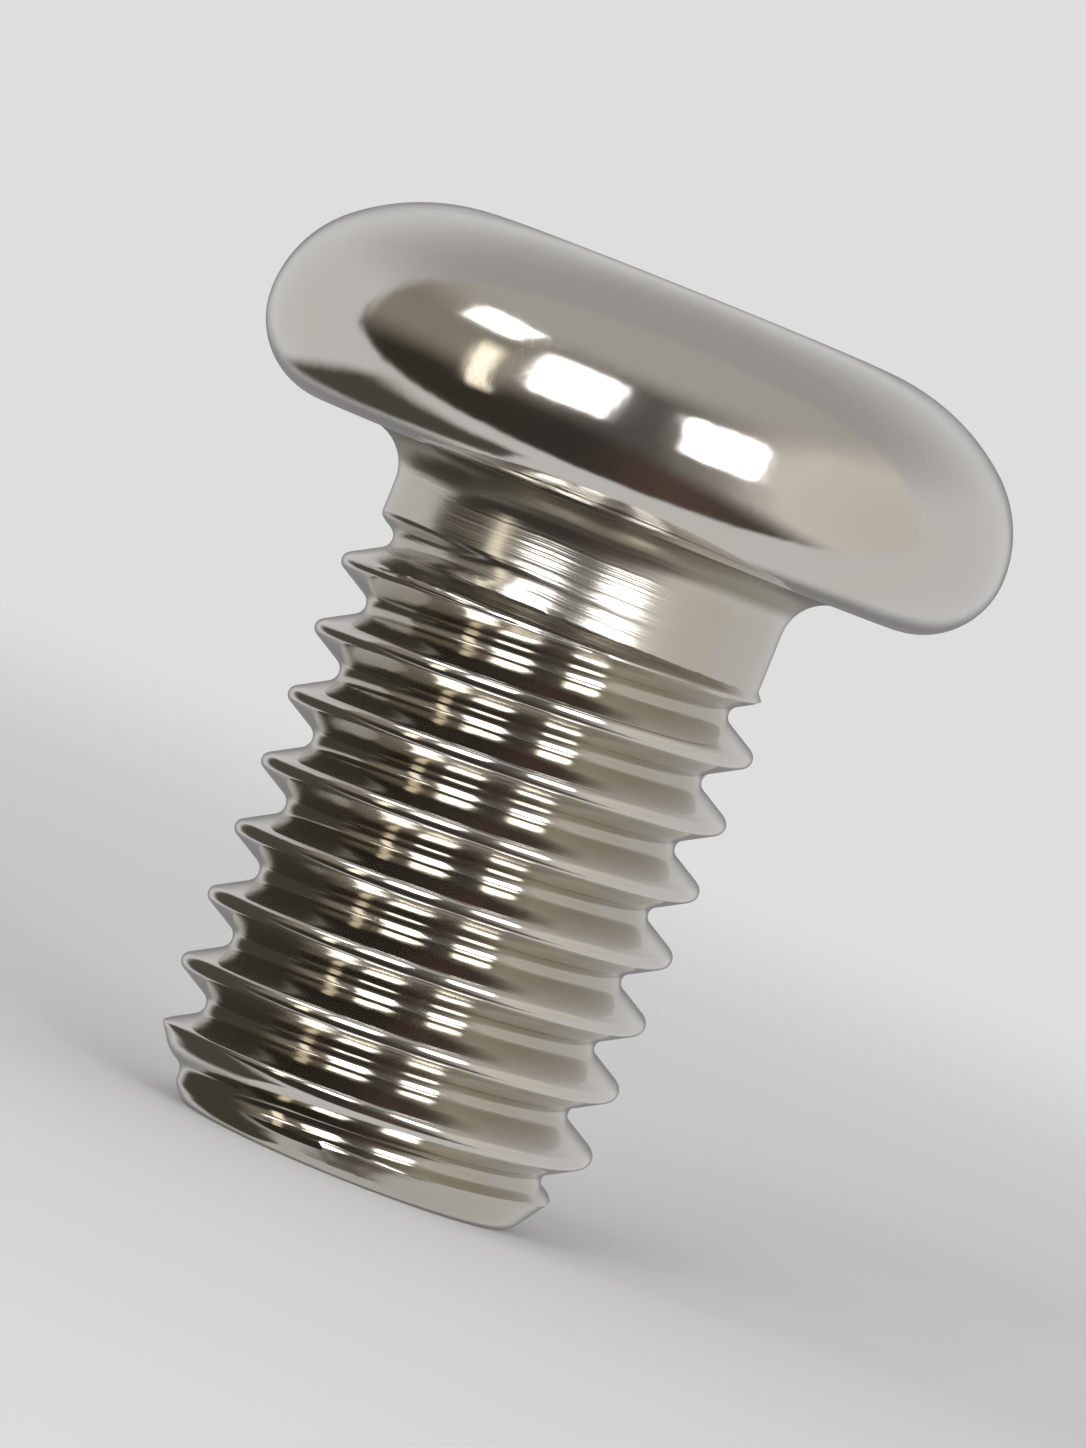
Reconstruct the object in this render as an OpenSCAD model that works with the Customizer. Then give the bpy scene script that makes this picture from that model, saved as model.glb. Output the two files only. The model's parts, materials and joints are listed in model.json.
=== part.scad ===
// Thin-head machine screw with a hexagon socket: one piece of steel, forged and then thread-rolled.
// It stands on the flat end of its shank, so Z = 0 is the tip and the head is on top.

/* [Head] */
// Diameter of the head at its widest point
head_d = 13.7; // [12:0.1:18]
// Height of the head, from the face that clamps to its flat top
head_h = 4.1; // [3.7:0.1:6]
// Diameter of the flat in the middle of the top
top_flat_d = 7.1; // [6.6:0.1:8]
// Radius of the rim above its widest point
rim_upper_r = 2.2; // [1:0.1:2.4]
// Radius of the rim between the face that clamps and its widest point
rim_lower_r = 1.5; // [0.8:0.1:1.6]

/* [Hexagon socket] */
// Width of the hexagon across its flats
socket_af = 5; // [4:0.1:5.2]
// Depth of the hexagon's walls
socket_depth = 2.6; // [2:0.1:3]
// Width of the countersink outside the hexagon's corners
socket_chamfer = 0.15; // [0.05:0.05:0.2]
// Angle of the socket's conical floor
socket_floor_angle = 15; // [5:1:30]

/* [Shank] */
// Length of the shank, from its flat end to the face that clamps
shank_l = 12.2; // [8:0.1:25]
// Diameter of the plain neck under the head
neck_d = 7.25; // [7:0.05:7.6]
// Length of the plain neck, from the head to the first shoulder of the thread
neck_l = 1.9; // [1.5:0.1:4]
// Radius of the fillet between the head and the neck
neck_fillet_r = 0.8; // [0.3:0.05:0.9]

/* [Thread] */
// Outside diameter of the thread
thread_d = 7.95; // [7.8:0.01:8]
// Pitch of the thread
thread_pitch = 1.25; // [1:0.05:1.25]
// Angle between the two flanks of the groove
flank_angle = 60; // [55:1:60]
// Turns over which the groove runs out into the neck
runout_turns = 0.4; // [0.2:0.05:0.6]
// Diameter of the flat end of the shank
tip_d = 6.2; // [5:0.1:6.4]
// Length of the chamfer at the tip
tip_l = 1.3; // [0.6:0.1:2]

/* [Hidden] */
$fn = 96;

// How far a cut runs past the surface that it opens
cut_over = 0.1;

// Heights along the axis
clamp_z = shank_l;
top_z = clamp_z + head_h;
shoulder_z = clamp_z - neck_l;

// Head outline, from the face that clamps round the rim to the flat top
head_r = head_d / 2;
clamp_edge = [head_r - rim_lower_r, clamp_z];
widest = [head_r, clamp_z + rim_lower_r];
top_edge = [top_flat_d / 2, top_z];
crown_rise = top_z - widest.y;
crown_w = widest.x - top_edge.x;
// The rim's upper radius leaves some of the crown's height and width to the wider crown arc
crown_share = 0.95;
upper_r = min(rim_upper_r, crown_share * crown_rise, crown_share * crown_w);
lower_centre = [head_r - rim_lower_r, widest.y];
upper_centre = [head_r - upper_r, widest.y];
// The crown arc touches the rim's upper arc at one end and the flat top at the other
crown_r = (crown_w^2 + crown_rise^2 - 2 * crown_w * upper_r) / (2 * (crown_rise - upper_r));
crown_centre = [top_edge.x, top_z - crown_r];
crown_end = upper_centre + upper_r * (upper_centre - crown_centre) / norm(upper_centre - crown_centre);

// Hexagon socket
socket_sides = 6;
socket_corner_r = socket_af / 2 / cos(180 / socket_sides);
mouth_r = socket_corner_r + socket_chamfer;
mouth_angle = 30;
floor_fall = socket_corner_r * tan(socket_floor_angle);

// Shank outline
neck_r = neck_d / 2;
thread_r = thread_d / 2;
tip_r = tip_d / 2;
crest_z = shoulder_z - (thread_r - neck_r);

// Groove of the thread: straight flanks, a round root and a flat crest, both in shares of the pitch
crest_share = 0.157;
root_round_share = 0.176;
crest_w = crest_share * thread_pitch;
half_flank = flank_angle / 2;
root_round_r = root_round_share * thread_pitch;
root_arc = 90 - half_flank;
flank_h = ((thread_pitch - crest_w) / 2 - root_round_r * sin(root_arc)) / tan(half_flank);
root_r = thread_r - flank_h - root_round_r * (1 - cos(root_arc));
cutter_r = thread_r + cut_over;
cutter_half_w = (thread_pitch - crest_w) / 2 + cut_over * tan(half_flank);
root_steps = 4;
turn_steps = 40;
// The groove starts beside the neck, half a pitch above the shoulder, and leaves past the tip
groove_z = shoulder_z + thread_pitch / 2;
groove_start_angle = -30;
groove_lift = cutter_r - root_r;
groove_turns = groove_z / thread_pitch + 1;
groove_steps = ceil(groove_turns * turn_steps);

// Section of the groove in a plane through the axis, as [distance down the axis, radius]
groove_section = [
    [-cutter_half_w, cutter_r],
    for (k = [0 : root_steps])
        let (a = root_arc * (2 * k / root_steps - 1))
        [root_round_r * sin(a), root_r + root_round_r * (1 - cos(a))],
    [cutter_half_w, cutter_r]
];
section_count = len(groove_section);

// Rises smoothly from 0 to 1
function ease(u) = u >= 1 ? 1 : u * u * (3 - 2 * u);

// One point of the groove, a number of turns down from its start
function groove_point(turns, section_point) =
    let (r = section_point.y + groove_lift * (1 - ease(turns / runout_turns)))
    let (a = groove_start_angle - 360 * turns)
    [r * cos(a), r * sin(a), groove_z - thread_pitch * turns - section_point.x];

// Index of a point of the groove, with the section closed on itself
function groove_index(step, k) = step * section_count + k % section_count;

// Slice of a circle outside the chord between two points on its rim
module bulge(centre, r, from, to) {
    out = [to.y - from.y, from.x - to.x] / norm(to - from);
    intersection() {
        translate(centre) circle(r);
        polygon([from, to, to + r * out, from + r * out]);
    }
}

// Half section of the screw before its thread is rolled
module blank_section() {
    polygon([
        [0, 0], [tip_r, 0], [thread_r, tip_l], [thread_r, crest_z],
        [neck_r, shoulder_z], [neck_r, clamp_z],
        clamp_edge, widest, crown_end, top_edge, [0, top_z]
    ]);
    bulge(lower_centre, rim_lower_r, clamp_edge, widest);
    bulge(upper_centre, upper_r, widest, crown_end);
    bulge(crown_centre, crown_r, crown_end, top_edge);
    translate([neck_r, clamp_z - neck_fillet_r]) difference() {
        square(neck_fillet_r);
        translate([neck_fillet_r, 0]) circle(neck_fillet_r);
    }
}

// Six-sided prism across the socket's corners
module hex_prism(h) {
    cylinder(h = h, r = socket_corner_r, $fn = socket_sides);
}

// Space that the key takes, measured down from the top: hexagon, countersunk mouth and conical floor
module hex_socket() {
    translate([0, 0, -cut_over]) {
        hex_prism(cut_over + socket_depth);
        cylinder(
            h = cut_over + mouth_r * tan(mouth_angle),
            r1 = mouth_r + cut_over / tan(mouth_angle),
            r2 = 0
        );
    }
    intersection() {
        translate([0, 0, socket_depth]) cylinder(h = floor_fall, r1 = socket_corner_r, r2 = 0);
        hex_prism(socket_depth + floor_fall);
    }
}

// Right-hand helical groove that leaves the thread standing
module thread_groove() {
    points = [
        for (step = [0 : groove_steps], section_point = groove_section)
            groove_point(step / turn_steps, section_point)
    ];
    sides = [
        for (step = [0 : groove_steps - 1], k = [0 : section_count - 1])
            each [
                [groove_index(step, k), groove_index(step + 1, k), groove_index(step, k + 1)],
                [groove_index(step, k + 1), groove_index(step + 1, k), groove_index(step + 1, k + 1)]
            ]
    ];
    start_cap = [for (k = [0 : section_count - 1]) groove_index(0, k)];
    end_cap = [for (k = [section_count - 1 : -1 : 0]) groove_index(groove_steps, k)];
    polyhedron(points, concat(sides, [start_cap, end_cap]));
}

module screw() {
    color("lightgray") difference() {
        rotate_extrude() blank_section();
        translate([0, 0, top_z]) mirror([0, 0, 1]) hex_socket();
        thread_groove();
    }
}

screw();
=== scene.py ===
# Looks of a thin-head hexagon socket screw: one smooth mesh, its bright nickel finish, a stage and a camera.
import json
import math

import bpy
from mathutils import Matrix, Vector


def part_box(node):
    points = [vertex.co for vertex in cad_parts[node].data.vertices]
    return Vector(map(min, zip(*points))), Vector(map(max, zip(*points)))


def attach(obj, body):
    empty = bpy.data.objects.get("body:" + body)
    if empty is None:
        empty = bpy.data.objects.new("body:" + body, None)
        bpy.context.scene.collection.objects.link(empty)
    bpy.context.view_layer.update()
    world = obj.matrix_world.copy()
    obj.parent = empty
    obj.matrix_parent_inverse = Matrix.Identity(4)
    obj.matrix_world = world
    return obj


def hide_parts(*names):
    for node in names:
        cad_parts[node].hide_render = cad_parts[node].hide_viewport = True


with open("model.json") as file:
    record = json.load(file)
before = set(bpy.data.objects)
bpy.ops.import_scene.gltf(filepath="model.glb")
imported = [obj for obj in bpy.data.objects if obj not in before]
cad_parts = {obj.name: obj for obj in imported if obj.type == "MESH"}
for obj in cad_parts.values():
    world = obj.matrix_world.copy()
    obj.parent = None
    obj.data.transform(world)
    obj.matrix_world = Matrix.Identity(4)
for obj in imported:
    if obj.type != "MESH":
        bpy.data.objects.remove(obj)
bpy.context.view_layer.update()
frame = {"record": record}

# Sizes below are millimetres and degrees, and the meshes are scaled to metres as they are made
MM = 0.001
TURN = 360

# Sizes that the frame gives
mounts = {mount["name"]: mount for mount in frame["record"]["mounts"]}
screw_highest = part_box("screw")[1]
HEAD_R = screw_highest.x / MM
TOP_Z = screw_highest.z / MM
CLAMP_Z = mounts["bearing_face"]["pos_m"][2] / MM
SOCKET_DEPTH = mounts["hex_socket"]["dims"]["length_mm"]
THREAD_R = mounts["thread"]["dims"]["r_mm"]

# Head
TOP_FLAT_R = 3.55
RIM_UPPER_R = 2.2
RIM_LOWER_R = 1.5
NECK_FILLET_R = 0.8

# Hexagon socket
SOCKET_SIDES = 6
SOCKET_AF = 5
SOCKET_CORNER_ROUND = 0.12
SOCKET_FLOOR_ANGLE = 15
MOUTH_MARGIN = 0.15
MOUTH_ANGLE = 30
MOUTH_ROUND = 0.1

# Shank and thread
NECK_R = 3.625
NECK_L = 1.9
TIP_R = 3.1
TIP_L = 1.3
TIP_ROUND = 0.16
PITCH = 1.25
HALF_FLANK = 30
ROOT_ROUND = 0.22
CREST_ROUND = 0.17
GROOVE_START_ANGLE = -30
RUNOUT_TURNS = 0.4
# How wide the thread blends into the neck and the chamfer
EDGE_BLEND = 0.12

# Fineness of the mesh
COLUMNS = 192
ARC_ROWS = 20
FLAT_ROWS = 4
ROOT_ROWS = 10
FLANK_ROWS = 4
CREST_ROWS = 10
SHARP_ANGLE = 38
# How far the rows that follow the helix reach above the shoulder
HELIX_ROWS_RISE = 0.85
# Least gap between the helix rows and a level ring, in shares of a row
LEAST_GAP = 0.1

# Derived places
SHOULDER_Z = CLAMP_Z - NECK_L
GROOVE_Z = SHOULDER_Z + PITCH / 2
FLANK_COS = math.cos(math.radians(HALF_FLANK))
FLANK_SIN = math.sin(math.radians(HALF_FLANK))
ROOT_HALF_W = ROOT_ROUND * FLANK_COS
CREST_HALF_W = CREST_ROUND * FLANK_COS
FLANK_W = PITCH / 2 - ROOT_HALF_W - CREST_HALF_W
THREAD_DEPTH = (ROOT_ROUND + CREST_ROUND) * (1 - FLANK_SIN) + FLANK_W * FLANK_COS / FLANK_SIN
ROOT_R = THREAD_R - THREAD_DEPTH
SOCKET_CORNER_R = SOCKET_AF / 2 / math.cos(math.pi / SOCKET_SIDES)
MOUTH_R = SOCKET_CORNER_R + MOUTH_MARGIN
BAND_TOP_Z = SHOULDER_Z + HELIX_ROWS_RISE
BAND_LOW_Z = TIP_ROUND

ANGLES = [TURN * column / COLUMNS for column in range(COLUMNS)]


def steps(start, end, count):
    """Evenly spaced values from start up to, but not including, end."""
    return [start + (end - start) * step / count for step in range(count)]


def arc(centre, radius, from_angle, to_angle, count):
    """Points of an arc in the half section, without its first point."""
    points = []
    for step in range(1, count + 1):
        angle = math.radians(from_angle + (to_angle - from_angle) * step / count)
        points.append((centre[0] + radius * math.cos(angle), centre[1] + radius * math.sin(angle)))
    return points


def rounded_corner(before, corner, after, count):
    """Points of a soft curve from before to after that turns at corner, both ends included."""
    points = []
    for step in range(count + 1):
        u = step / count
        weights = ((1 - u) ** 2, 2 * u * (1 - u), u ** 2)
        points.append(tuple(
            sum(weight * point[axis] for weight, point in zip(weights, (before, corner, after)))
            for axis in (0, 1)
        ))
    return points


def round_min(a, b, width):
    """The lesser of two values, with the corner where they cross rounded over a width."""
    overlap = max(width - abs(a - b), 0) / width
    return min(a, b) - overlap * overlap * width / 4


def ease(u):
    """Rises smoothly from 0 to 1."""
    u = min(max(u, 0), 1)
    return u * u * (3 - 2 * u)


def hexagon_radius(angle):
    """Distance from the axis to the socket's wall, with its corners slightly round."""
    side = TURN / SOCKET_SIDES
    from_corner = math.radians(abs((angle + side / 2) % side - side / 2))
    half_side = math.radians(side / 2)
    round_centre = (SOCKET_AF / 2 - SOCKET_CORNER_ROUND) / math.cos(half_side)
    round_end = math.atan2(
        SOCKET_CORNER_ROUND * math.sin(half_side),
        round_centre + SOCKET_CORNER_ROUND * math.cos(half_side),
    )
    if from_corner > round_end:
        return SOCKET_AF / 2 / math.cos(half_side - from_corner)
    reach = math.sqrt(SOCKET_CORNER_ROUND ** 2 - (round_centre * math.sin(from_corner)) ** 2)
    return round_centre * math.cos(from_corner) + reach


def groove_radius(offset):
    """Radius of the thread at a distance along the axis from the middle of its groove, up to the crest."""
    if offset < ROOT_HALF_W:
        return ROOT_R + ROOT_ROUND - math.sqrt(ROOT_ROUND ** 2 - offset ** 2)
    to_crest = PITCH / 2 - offset
    if to_crest < CREST_HALF_W:
        return THREAD_R - CREST_ROUND + math.sqrt(CREST_ROUND ** 2 - to_crest ** 2)
    flank_start = ROOT_R + ROOT_ROUND * (1 - FLANK_SIN)
    return flank_start + (offset - ROOT_HALF_W) * FLANK_COS / FLANK_SIN


def blank_radius(z):
    """Radius that the shank has before the thread is rolled, with its crest left a little high."""
    chamfer = TIP_R + z * (THREAD_R - TIP_R) / TIP_L
    shoulder = NECK_R + max(SHOULDER_Z - z, 0)
    return min(chamfer, shoulder, THREAD_R + EDGE_BLEND)


def shank_radius(angle, z):
    """Radius of the threaded shank at an angle and a height."""
    first = (GROOVE_START_ANGLE - angle) / TURN % 1
    turns = first + round((GROOVE_Z - z) / PITCH - first)
    lift = (THREAD_R + EDGE_BLEND - ROOT_R) * (1 - ease(turns / RUNOUT_TURNS))
    radius = groove_radius(abs(z - GROOVE_Z + PITCH * turns)) + lift
    return min(round_min(radius, blank_radius(z), EDGE_BLEND), THREAD_R)


def at(value, angle):
    """A number as it is, or what a function gives at an angle."""
    return value(angle) if callable(value) else value


class Skin:
    """Grows the screw's surface ring by ring, from the socket's floor over the head and down to the tip."""

    def __init__(self):
        self.points = []
        self.faces = []

    def point(self, angle, radius, z):
        """Adds one point and gives its number."""
        turn = math.radians(angle)
        self.points.append((radius * math.cos(turn) * MM, radius * math.sin(turn) * MM, z * MM))
        return len(self.points) - 1

    def ring(self, radius, z):
        """Adds a ring of points. The radius and the height are numbers, or functions of the angle."""
        return [self.point(angle, at(radius, angle), at(z, angle)) for angle in ANGLES]

    def face(self, *corners):
        """Adds a face, with corners that fall together taken once."""
        kept = list(dict.fromkeys(corners))
        if len(kept) > 2:
            self.faces.append(kept)

    def bridge(self, ring, next_ring):
        """Joins two rings with a band of faces."""
        for i in range(COLUMNS):
            j = (i + 1) % COLUMNS
            self.face(ring[i], next_ring[i], next_ring[j], ring[j])

    def grow(self, ring, rings):
        """Bridges from one ring through the next ones and gives the last."""
        for radius, z in rings:
            next_ring = self.ring(radius, z)
            self.bridge(ring, next_ring)
            ring = next_ring
        return ring

    def socket(self):
        """The socket's conical floor, its six walls and its countersunk mouth, up to the flat top."""
        fall = math.tan(math.radians(SOCKET_FLOOR_ANGLE))
        floor_z = TOP_Z - SOCKET_DEPTH - SOCKET_CORNER_R * fall
        mouth_fall = math.tan(math.radians(MOUTH_ANGLE))

        def floor_at(share):
            def radius(angle):
                return share * hexagon_radius(angle)

            def height(angle):
                return floor_z + radius(angle) * fall

            return radius, height

        def wall_at(share):
            def height(angle):
                low = floor_z + hexagon_radius(angle) * fall
                high = TOP_Z - (MOUTH_R - hexagon_radius(angle)) * mouth_fall
                return low + share * (high - low)

            return hexagon_radius, height

        middle = self.point(0, 0, floor_z)
        shares = [step / ARC_ROWS for step in range(1, ARC_ROWS + 1)]
        ring = self.ring(*floor_at(shares[0]))
        for i in range(COLUMNS):
            self.face(middle, ring[i], ring[(i + 1) % COLUMNS])
        ring = self.grow(ring, [floor_at(share) for share in shares[1:]])
        ring = self.grow(ring, [wall_at(share) for share in shares])
        mouth = rounded_corner(
            (MOUTH_R - MOUTH_ROUND / 2, TOP_Z - MOUTH_ROUND / 2 * mouth_fall),
            (MOUTH_R, TOP_Z),
            (MOUTH_R + MOUTH_ROUND, TOP_Z),
            FLAT_ROWS,
        )
        return self.grow(ring, mouth)

    def head(self, ring):
        """The flat top, the crown, the round rim, the face that clamps and the fillet, down to the neck."""
        rise = TOP_Z - CLAMP_Z - RIM_LOWER_R
        crown_w = HEAD_R - TOP_FLAT_R
        widest_z = CLAMP_Z + RIM_LOWER_R
        crown_r = (crown_w ** 2 + rise ** 2 - 2 * crown_w * RIM_UPPER_R) / (2 * (rise - RIM_UPPER_R))
        crown_centre = (TOP_FLAT_R, TOP_Z - crown_r)
        upper_centre = (HEAD_R - RIM_UPPER_R, widest_z)
        lower_centre = (HEAD_R - RIM_LOWER_R, widest_z)
        fillet_centre = (NECK_R + NECK_FILLET_R, CLAMP_Z - NECK_FILLET_R)
        turn_angle = math.degrees(math.atan2(
            upper_centre[1] - crown_centre[1], upper_centre[0] - crown_centre[0]
        ))
        rings = [(r, TOP_Z) for r in steps(MOUTH_R + MOUTH_ROUND, TOP_FLAT_R, FLAT_ROWS)[1:]]
        rings += [(TOP_FLAT_R, TOP_Z)]
        rings += arc(crown_centre, crown_r, 90, turn_angle, ARC_ROWS)
        rings += arc(upper_centre, RIM_UPPER_R, turn_angle, 0, ARC_ROWS)
        rings += arc(lower_centre, RIM_LOWER_R, 0, -90, ARC_ROWS)
        rings += [(r, CLAMP_Z) for r in steps(lower_centre[0], fillet_centre[0], FLAT_ROWS)[1:]]
        rings += [(fillet_centre[0], CLAMP_Z)]
        rings += arc(fillet_centre, NECK_FILLET_R, 90, 180, ARC_ROWS // 2)
        return self.grow(ring, rings)

    def thread(self, top_ring):
        """The shank between the neck and the tip, in rows that follow the helix."""
        low_ring = self.ring(lambda angle: shank_radius(angle, BAND_LOW_Z), BAND_LOW_Z)
        section = steps(0, ROOT_HALF_W, ROOT_ROWS // 2)
        section += steps(ROOT_HALF_W, PITCH / 2 - CREST_HALF_W, FLANK_ROWS)
        section += steps(PITCH / 2 - CREST_HALF_W, PITCH / 2 + CREST_HALF_W, CREST_ROWS)
        section += steps(PITCH / 2 + CREST_HALF_W, PITCH - ROOT_HALF_W, FLANK_ROWS)
        section += steps(PITCH - ROOT_HALF_W, PITCH, ROOT_ROWS // 2)
        rows_per_turn = len(section)
        start_z = GROOVE_Z + PITCH * (1 - GROOVE_START_ANGLE / TURN)
        turns = math.ceil((start_z - BAND_LOW_Z) / PITCH) + 1
        least_gap = LEAST_GAP * PITCH / rows_per_turn
        made = {}

        def number(column, row):
            if column == COLUMNS:
                column, row = 0, row - rows_per_turn
            z = start_z + PITCH * (column / COLUMNS - row // rows_per_turn) - section[row % rows_per_turn]
            if z > BAND_TOP_Z - least_gap:
                return top_ring[column]
            if z < BAND_LOW_Z + least_gap:
                return low_ring[column]
            if (column, row) not in made:
                angle = ANGLES[column]
                made[column, row] = self.point(angle, shank_radius(angle, z), z)
            return made[column, row]

        for column in range(COLUMNS):
            for row in range(turns * rows_per_turn):
                self.face(
                    number(column, row),
                    number(column, row + 1),
                    number(column + 1, row + 1),
                    number(column + 1, row),
                )
        return low_ring

    def tip(self, ring):
        """The rounded edge of the chamfer and the flat end."""
        edge = rounded_corner(
            (blank_radius(BAND_LOW_Z), BAND_LOW_Z), (TIP_R, 0), (TIP_R - TIP_ROUND, 0), FLAT_ROWS
        )
        ring = self.grow(ring, edge[1:])
        ring = self.grow(ring, [(r, 0) for r in steps(TIP_R - TIP_ROUND, 0, ARC_ROWS)[1:]])
        middle = self.point(0, 0, 0)
        for i in range(COLUMNS):
            self.face(ring[i], middle, ring[(i + 1) % COLUMNS])


def make_screw():
    """The whole screw as one closed mesh."""
    skin = Skin()
    ring = skin.socket()
    ring = skin.head(ring)
    ring = skin.grow(ring, [(NECK_R, BAND_TOP_Z)])
    ring = skin.thread(ring)
    skin.tip(ring)
    mesh = bpy.data.meshes.new("screw_body")
    mesh.from_pydata(skin.points, [], skin.faces)
    mesh.shade_smooth()
    mesh.set_sharp_from_angle(angle=math.radians(SHARP_ANGLE))
    body = bpy.data.objects.new("screw_body", mesh)
    bpy.context.scene.collection.objects.link(body)
    return body


# Places of the share, the two colours and the result among a Mix node's sockets
MIX_INPUTS = (0, 6, 7)
MIX_OUTPUT = 2


class Nodes:
    """Adds shader nodes to a node tree. An input is a value, a node, or one of a node's outputs."""

    def __init__(self, tree):
        self.tree = tree
        tree.nodes.clear()

    def set(self, socket, value):
        """Links an input, or gives it a value."""
        if isinstance(value, bpy.types.Node):
            value = value.outputs[0]
        if isinstance(value, bpy.types.NodeSocket):
            self.tree.links.new(value, socket)
        else:
            socket.default_value = value

    def add(self, kind, *inputs, **others):
        """Adds a node with its first inputs in order, and other inputs and settings by name."""
        node = self.tree.nodes.new("ShaderNode" + kind)
        for name, value in others.items():
            if name in node.inputs:
                self.set(node.inputs[name], value)
            else:
                setattr(node, name, value)
        for socket, value in zip(node.inputs, inputs):
            self.set(socket, value)
        return node

    def math(self, operation, *inputs):
        """One operation on numbers."""
        return self.add("Math", *inputs, operation=operation)

    def rise(self, value, start, end, low=0.0, high=1.0):
        """Goes smoothly from low to high as a value goes from start to end."""
        return self.add("MapRange", value, start, end, low, high, interpolation_type="SMOOTHSTEP")

    def noise(self, place, size, detail=2.0):
        """Noise with blotches of about a size in millimetres."""
        return self.add("TexNoise", Vector=place, Scale=1 / (size * MM), Detail=detail)

    def mix(self, share, first, second):
        """Mixes two colours."""
        node = self.add("Mix", data_type="RGBA")
        for place, value in zip(MIX_INPUTS, (share, first, second)):
            self.set(node.inputs[place], value)
        return node.outputs[MIX_OUTPUT]

    def ramp(self, value, stops):
        """Colours along a value from 0 to 1, as pairs of a place and a colour."""
        node = self.add("ValToRGB", value)
        elements = node.color_ramp.elements
        while len(elements) < len(stops):
            elements.new(1)
        for element, (place, tone) in zip(elements, stops):
            element.position = place
            element.color = tone
        return node


def colour(red, green=None, blue=None):
    """A linear colour, or a grey from one number."""
    return (red, red if green is None else green, red if blue is None else blue, 1)


# Finish: sizes in millimetres, and depths in shares of the turning lines' depth
BRIGHT_NICKEL = colour(0.70, 0.68, 0.645)
WARM_NICKEL = colour(0.68, 0.645, 0.595)
# Darker tone that the shank takes the nearer its surface lies to the axis, in the grooves and on the neck
ROOT_DARK_NICKEL = colour(0.53, 0.50, 0.44)
ROUGHNESS = (0.09, 0.13)
# Cloudiness of the plate, and the stretch of the noise over which its gloss changes
FOG_SIZE = 1.6
FOG_DEPTH = 1.5
FOG_DETAIL = 3.0
FOG_RANGE = (0.3, 0.7)
# Turning lines, which are fainter on the thread than on the neck
LINE_WIDTH = 0.15
LINE_DEPTH = 0.012
LINE_WANDER = 0.15
LINE_DETAIL = 2.0
THREAD_LINES = 0.12
NECK_ROUGHNESS = 0.11
# Painted shade in the corner under the head, where the plate is also rougher: how far below and above the
# face that clamps, and out from the neck, it fades
CORNER_PAINTED_SHADE = colour(0.36, 0.33, 0.265)
CORNER_ROUGHNESS = 0.2
CORNER_BELOW = (0.6, 0.35)
CORNER_ABOVE = 0.1
CORNER_REACH = (1.6, 0.8)
# Handling marks: directions as turns about the axes, how long they are drawn, and their sizes
MARK_TURNS = ((20, 35, 10), (-40, 15, 65), (75, -30, -25))
MARK_STRETCH = 0.03
MARK_SPACING = 0.35
MARK_WIDTH = 0.01
MARK_PATCH = 2.2
MARK_PATCH_RANGE = (0.45, 0.65)
MARK_DEPTH = 0.008
MARK_ROUGHNESS = 0.04
NOISE_MIDDLE = 0.5


def hairlines(nodes, place):
    """Faint handling marks: short hairlines in a few directions, gathered in patches."""
    marks = 0.0
    for turn in MARK_TURNS:
        stretched = nodes.add(
            "Mapping", place, Rotation=[math.radians(angle) for angle in turn], Scale=(1, MARK_STRETCH, 1)
        )
        ridge = nodes.noise(stretched, MARK_SPACING, detail=0.0)
        off_middle = nodes.math("ABSOLUTE", nodes.math("SUBTRACT", ridge, NOISE_MIDDLE))
        marks = nodes.math("ADD", nodes.rise(off_middle, MARK_WIDTH, 0.0), marks)
    patches = nodes.rise(nodes.noise(place, MARK_PATCH), *MARK_PATCH_RANGE)
    return nodes.math("MULTIPLY", marks, patches)


def painted_shade_corner(nodes, radius, z):
    """Where shade is painted and roughness raised: 1 in the corner between the head and the neck, and 0
    elsewhere.
    """
    below = [(CLAMP_Z - depth) * MM for depth in CORNER_BELOW]
    reach = [(NECK_R + width) * MM for width in CORNER_REACH]
    inside = nodes.math("MULTIPLY", nodes.rise(z, *below), nodes.rise(radius, *reach))
    return nodes.math("MULTIPLY", inside, nodes.rise(z, (CLAMP_Z + CORNER_ABOVE) * MM, CLAMP_Z * MM))


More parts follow.
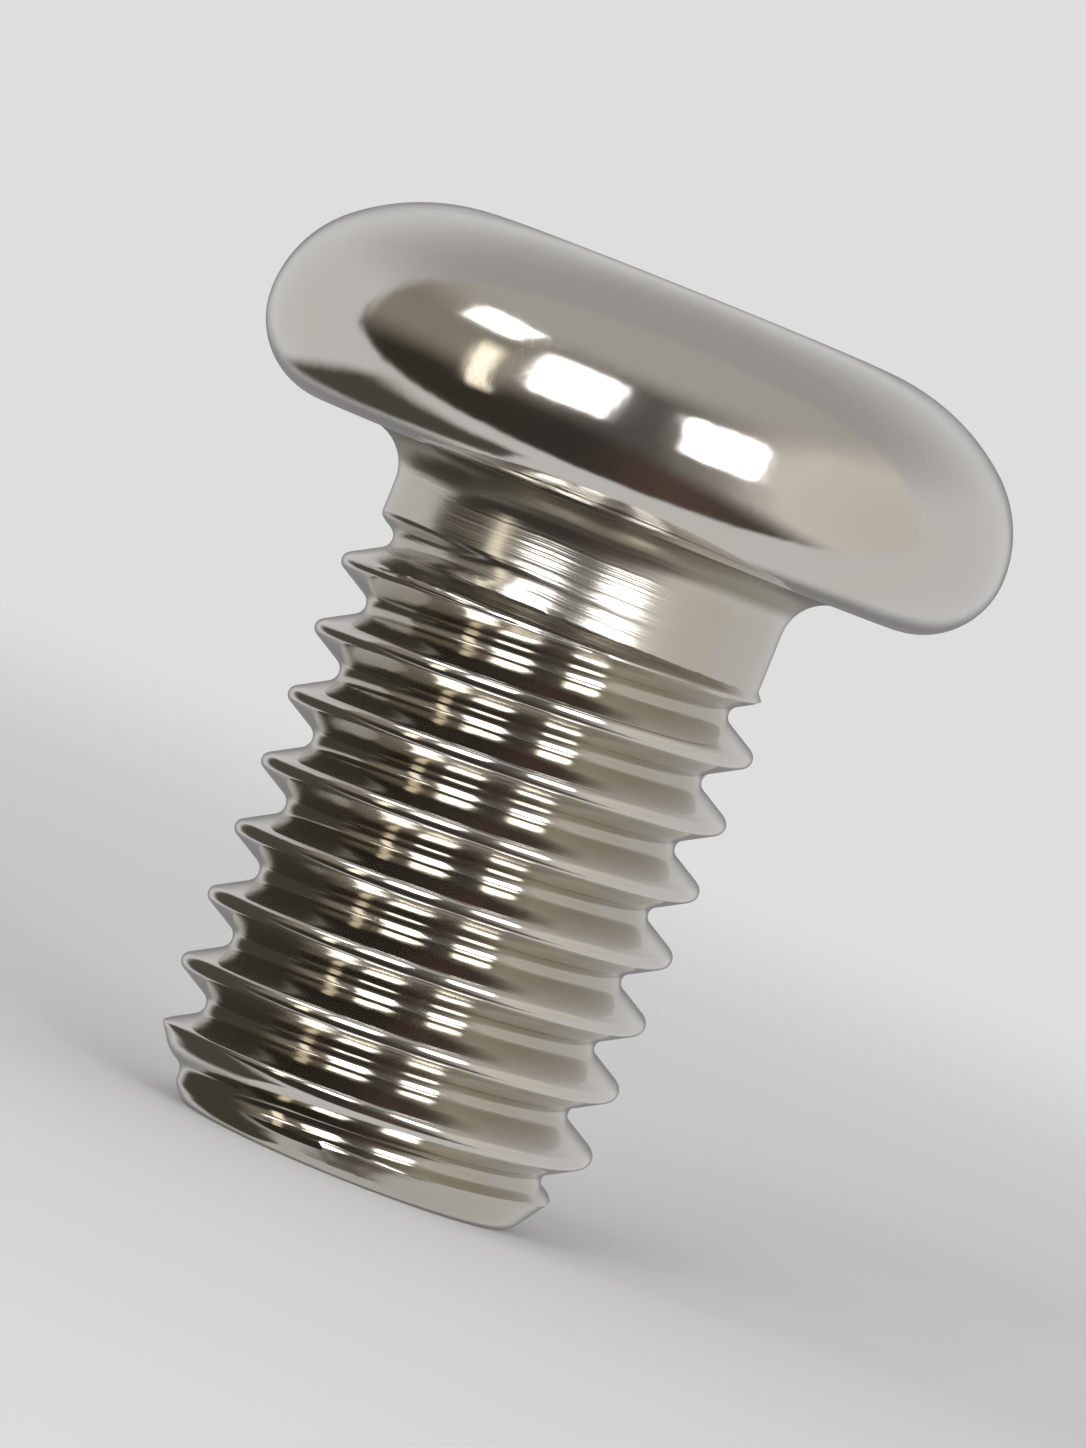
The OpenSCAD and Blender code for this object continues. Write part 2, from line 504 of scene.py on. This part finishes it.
def nickel():
    """Bright nickel plate: a cloudy mirror with faint marks and a satin neck, darker towards the thread's
    roots, with painted shade and more roughness in the corner under the head.
    """
    material = bpy.data.materials.new("plated_steel")
    material.use_nodes = True
    nodes = Nodes(material.node_tree)
    place = nodes.add("TexCoord").outputs["Object"]
    x, y, z = nodes.add("SeparateXYZ", place).outputs
    radius = nodes.math("SQRT", nodes.math("ADD", nodes.math("POWER", x, 2.0), nodes.math("POWER", y, 2.0)))
    on_shank = nodes.rise(z, CLAMP_Z * MM, (CLAMP_Z - NECK_FILLET_R) * MM)
    on_neck = nodes.rise(z, (SHOULDER_Z - PITCH / 2) * MM, SHOULDER_Z * MM)
    in_groove = nodes.rise(radius, THREAD_R * MM, ROOT_R * MM)
    # Corner under the head, where shade is painted into the colour
    in_shaded_corner = painted_shade_corner(nodes, radius, z)
    satin = nodes.math("MULTIPLY", on_neck, on_shank)
    # Share of the darker tone: more towards the thread's roots, and some on the neck
    darker_in_groove = nodes.math("MULTIPLY", on_shank, in_groove)
    fog = nodes.noise(place, FOG_SIZE, FOG_DETAIL)
    along = nodes.math("MULTIPLY_ADD", nodes.noise(place, FOG_SIZE), LINE_WANDER * MM, z)
    lines = nodes.add(
        "TexNoise", noise_dimensions="1D", W=along, Scale=1 / (LINE_WIDTH * MM), Detail=LINE_DETAIL
    )
    marks = hairlines(nodes, place)
    line_depth = nodes.math("MULTIPLY", on_shank, nodes.rise(on_neck, 0.0, 1.0, THREAD_LINES, 1.0))
    relief = nodes.math("MULTIPLY_ADD", lines, line_depth, nodes.math("MULTIPLY", fog, FOG_DEPTH))
    relief = nodes.math("MULTIPLY_ADD", marks, -MARK_DEPTH, relief)
    surface = nodes.add("Bump", Height=relief, Distance=LINE_DEPTH * MM)
    # Darker towards the thread's roots and on the neck
    tone = nodes.mix(darker_in_groove, nodes.mix(fog, BRIGHT_NICKEL, WARM_NICKEL), ROOT_DARK_NICKEL)
    # Painted shade in the corner under the head
    tone = nodes.mix(in_shaded_corner, tone, CORNER_PAINTED_SHADE)
    gloss = nodes.rise(fog, *FOG_RANGE, *ROUGHNESS)
    gloss = nodes.math("MULTIPLY_ADD", in_shaded_corner, CORNER_ROUGHNESS, gloss)
    gloss = nodes.math("MULTIPLY_ADD", satin, NECK_ROUGHNESS, gloss)
    gloss = nodes.math("MULTIPLY_ADD", marks, MARK_ROUGHNESS, gloss)
    shader = nodes.add("BsdfPrincipled", tone, Metallic=1.0, Roughness=gloss, Normal=surface)
    nodes.add("OutputMaterial", shader)
    return material


screw = make_screw()
screw.data.materials.append(nickel())
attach(screw, "root")
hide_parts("screw")

# Camera at the photograph's viewing angle
CAMERA_TILT = 21.9
CAMERA_ELEVATION = 2
CAMERA_DISTANCE = 147
CAMERA_LENS = 210
AIM = Vector((0.35, 0, 8.4)) * MM


def direction(azimuth, elevation):
    """Unit vector from the screw, with azimuth 0 towards the camera and positive azimuth to its right."""
    a = math.radians(azimuth)
    e = math.radians(elevation)
    return Vector((math.cos(e) * math.sin(a), -math.cos(e) * math.cos(a), math.sin(e)))


def make_camera():
    """The camera, tilted so that the head is up and to the right."""
    data = bpy.data.cameras.new("camera")
    data.lens = CAMERA_LENS
    data.clip_start = MM
    camera = bpy.data.objects.new("camera", data)
    back = direction(0, CAMERA_ELEVATION)
    level_right = Vector((1, 0, 0))
    level_up = back.cross(level_right)
    tilt = math.radians(CAMERA_TILT)
    right = math.cos(tilt) * level_right + math.sin(tilt) * level_up
    up = back.cross(right)
    turn = Matrix((right, up, back)).transposed().to_4x4()
    camera.matrix_world = Matrix.Translation(AIM + back * CAMERA_DISTANCE * MM) @ turn
    bpy.context.scene.collection.objects.link(camera)
    bpy.context.scene.camera = camera


make_camera()

# Surroundings, by direction: pairs are where a fade starts and ends along one of the direction's axes
PALE = colour(0.73)
FAR_SIDE = colour(0.68)
FAR_CEILING = colour(0.42)
FAR_CEILING_Z = (0.3, 0.9)
STRIP_BEHIND = colour(0.26)
STRIP_X = (0.42, 0.15)
STRIP_Y = (0.5, 0.8)
STRIP_Z = (0.4, 0.05)
# Dim warm room on the camera's side, with its colours from left to right
ROOM_HALF_ANGLE = 97
ROOM_EDGE = -math.cos(math.radians(ROOM_HALF_ANGLE))
ROOM_EDGE_SOFTNESS = 0.05
ROOM_WALLS = (
    (0.0, colour(0.30, 0.27, 0.22)),
    (0.20, colour(0.25, 0.225, 0.185)),
    (0.40, colour(0.09, 0.085, 0.078)),
    (0.54, colour(0.10, 0.094, 0.087)),
    (0.72, colour(0.32, 0.30, 0.27)),
    (0.86, colour(0.74, 0.715, 0.665)),
    (1.0, colour(0.66, 0.635, 0.59)),
)
ROOM_FLOOR = (
    (0.0, colour(0.04, 0.035, 0.026)),
    (0.40, colour(0.045, 0.04, 0.035)),
    (0.60, colour(0.105, 0.068, 0.056)),
    (0.80, colour(0.075, 0.064, 0.054)),
    (1.0, colour(0.16, 0.15, 0.13)),
)
ROOM_CEILING = colour(0.48, 0.465, 0.43)
ROOM_CEILING_Z = (0.5, 0.85)
FLOOR_LINE = (-0.15, -0.6)
FLOOR_LINE_TILT = 0.42
# How far the pale surroundings reach under the room
PALE_BELOW = 0.4

# Floor: how far it lies below the tip, and the distances between which it fades
FLOOR_TONE = colour(0.57)
FLOOR_GAP = 0.005
FLOOR_SOLID = 25
FLOOR_FADE = 160

# Dark card on the left, and how wide it fades at its front, back and upper borders
FLAG_TONE = colour(0.085, 0.077, 0.06)
FLAG_X = -10
FLAG_FRONT = -6
FLAG_BACK = 13
FLAG_LOW = -20
FLAG_HIGH = 9.8
FLAG_FADES = (4, 6, 2)

# Lamps: how far away they stand, the share of a side over which each end fades, and the middle of a side
LAMP_DISTANCE = 300
LAMP_EDGE = 0.22
LAMP_MIDDLE = 0.5
WHITE = colour(1)
CREAM = colour(1.0, 0.92, 0.76)


def make_world():
    """Even pale light, with the room painted on the camera's side for reflections alone."""
    world = bpy.data.worlds.new("studio")
    bpy.context.scene.world = world
    world.use_nodes = True
    nodes = Nodes(world.node_tree)
    x, y, z = nodes.add("SeparateXYZ", nodes.add("TexCoord").outputs["Generated"]).outputs
    below = nodes.math("MAXIMUM", nodes.math("MULTIPLY", z, -PALE_BELOW), 0.0)
    in_room = nodes.rise(
        nodes.math("ADD", y, below), ROOM_EDGE + ROOM_EDGE_SOFTNESS, ROOM_EDGE - ROOM_EDGE_SOFTNESS
    )
    across = nodes.add("MapRange", x, -1.0, 1.0, 0.0, 1.0)
    over_floor = nodes.math("MULTIPLY_ADD", x, FLOOR_LINE_TILT, z)
    on_floor = nodes.rise(over_floor, *FLOOR_LINE)
    room = nodes.mix(on_floor, nodes.ramp(across, ROOM_WALLS), nodes.ramp(across, ROOM_FLOOR))
    room = nodes.mix(nodes.rise(z, *ROOM_CEILING_Z), room, ROOM_CEILING)
    far_side = nodes.mix(nodes.rise(z, *FAR_CEILING_Z), FAR_SIDE, FAR_CEILING)
    on_strip = nodes.math(
        "MULTIPLY", nodes.rise(nodes.math("ABSOLUTE", x), *STRIP_X), nodes.rise(y, *STRIP_Y)
    )
    on_strip = nodes.math("MULTIPLY", on_strip, nodes.rise(z, *STRIP_Z))
    far_side = nodes.mix(on_strip, far_side, STRIP_BEHIND)
    shown = nodes.mix(in_room, far_side, room)
    glossy = nodes.add("LightPath").outputs["Is Glossy Ray"]
    light = nodes.add("Background", nodes.mix(glossy, PALE, shown))
    nodes.add("OutputWorld", light)


def softbox(name, azimuth, elevation, width, height, radiance, tone=WHITE):
    """A soft-edged rectangular lamp of a width and height in degrees, turned to the screw."""
    distance = LAMP_DISTANCE * MM
    data = bpy.data.lights.new(name, "AREA")
    data.shape = "RECTANGLE"
    data.size = 2 * distance * math.tan(math.radians(width / 2))
    data.size_y = 2 * distance * math.tan(math.radians(height / 2))
    data.energy = math.pi * data.size * data.size_y
    data.use_nodes = True
    nodes = Nodes(data.node_tree)
    u, v, _ = nodes.add("SeparateXYZ", nodes.add("NewGeometry").outputs["Parametric"]).outputs
    fades = [
        nodes.rise(
            nodes.math("ABSOLUTE", nodes.math("SUBTRACT", side, LAMP_MIDDLE)),
            LAMP_MIDDLE,
            LAMP_MIDDLE - LAMP_EDGE,
        )
        for side in (u, v)
    ]
    strength = nodes.math("MULTIPLY", nodes.math("MULTIPLY", *fades), radiance)
    nodes.add("OutputLight", nodes.add("Emission", tone, strength))
    lamp = bpy.data.objects.new(name, data)
    towards = direction(azimuth, elevation)
    lamp.location = AIM + towards * distance
    lamp.rotation_mode = "QUATERNION"
    lamp.rotation_quaternion = towards.to_track_quat("Z", "Y")
    lamp.visible_camera = False
    bpy.context.scene.collection.objects.link(lamp)


def make_panel(name, corners):
    """A flat four-cornered panel and its material."""
    mesh = bpy.data.meshes.new(name)
    mesh.from_pydata([Vector(corner) * MM for corner in corners], [], [range(len(corners))])
    panel = bpy.data.objects.new(name, mesh)
    bpy.context.scene.collection.objects.link(panel)
    material = bpy.data.materials.new(name)
    material.use_nodes = True
    mesh.materials.append(material)
    return panel, material


def make_floor():
    """A pale floor that fades into the surroundings."""
    half = 2 * FLOOR_FADE
    corners = ((-half, -half), (half, -half), (half, half), (-half, half))
    floor, material = make_panel("floor", [(x, y, -FLOOR_GAP) for x, y in corners])
    nodes = Nodes(material.node_tree)
    place = nodes.add("TexCoord").outputs["Object"]
    reach = nodes.add("VectorMath", place, operation="LENGTH").outputs["Value"]
    solid = nodes.rise(reach, FLOOR_SOLID * MM, FLOOR_FADE * MM, 1.0, 0.0)
    paint = nodes.add("BsdfDiffuse", FLOOR_TONE)
    nodes.add("OutputMaterial", nodes.add("MixShader", solid, nodes.add("BsdfTransparent"), paint))
    floor.visible_glossy = False


def make_flag():
    """A dark card low on the left that only the metal shows, to shade the left side of the thread."""
    corners = (
        (FLAG_X, FLAG_FRONT, FLAG_LOW),
        (FLAG_X, FLAG_BACK, FLAG_LOW),
        (FLAG_X, FLAG_BACK, FLAG_HIGH),
        (FLAG_X, FLAG_FRONT, FLAG_HIGH),
    )
    flag, material = make_panel("left_flag", corners)
    nodes = Nodes(material.node_tree)
    _, y, z = nodes.add("SeparateXYZ", nodes.add("TexCoord").outputs["Object"]).outputs
    front_fade, back_fade, upper_fade = FLAG_FADES
    solid = nodes.math(
        "MULTIPLY",
        nodes.rise(y, FLAG_FRONT * MM, (FLAG_FRONT + front_fade) * MM),
        nodes.rise(y, FLAG_BACK * MM, (FLAG_BACK - back_fade) * MM),
    )
    solid = nodes.math("MULTIPLY", solid, nodes.rise(z, FLAG_HIGH * MM, (FLAG_HIGH - upper_fade) * MM))
    paint = nodes.add("Emission", FLAG_TONE)
    nodes.add("OutputMaterial", nodes.add("MixShader", solid, nodes.add("BsdfTransparent"), paint))
    material.cycles.emission_sampling = "NONE"
    flag.visible_camera = False
    flag.visible_diffuse = False
    flag.visible_shadow = False


make_world()
make_floor()
make_flag()
softbox("left_softbox", azimuth=-22, elevation=18, width=28, height=40, radiance=8)
softbox("right_softbox", azimuth=25, elevation=14.5, width=26, height=38, radiance=8)
softbox("top_softbox", azimuth=-59, elevation=41, width=22, height=16, radiance=5)
softbox("side_strip", azimuth=-50, elevation=2, width=9, height=50, radiance=1.6, tone=CREAM)
bpy.context.scene.view_settings.view_transform = "Standard"
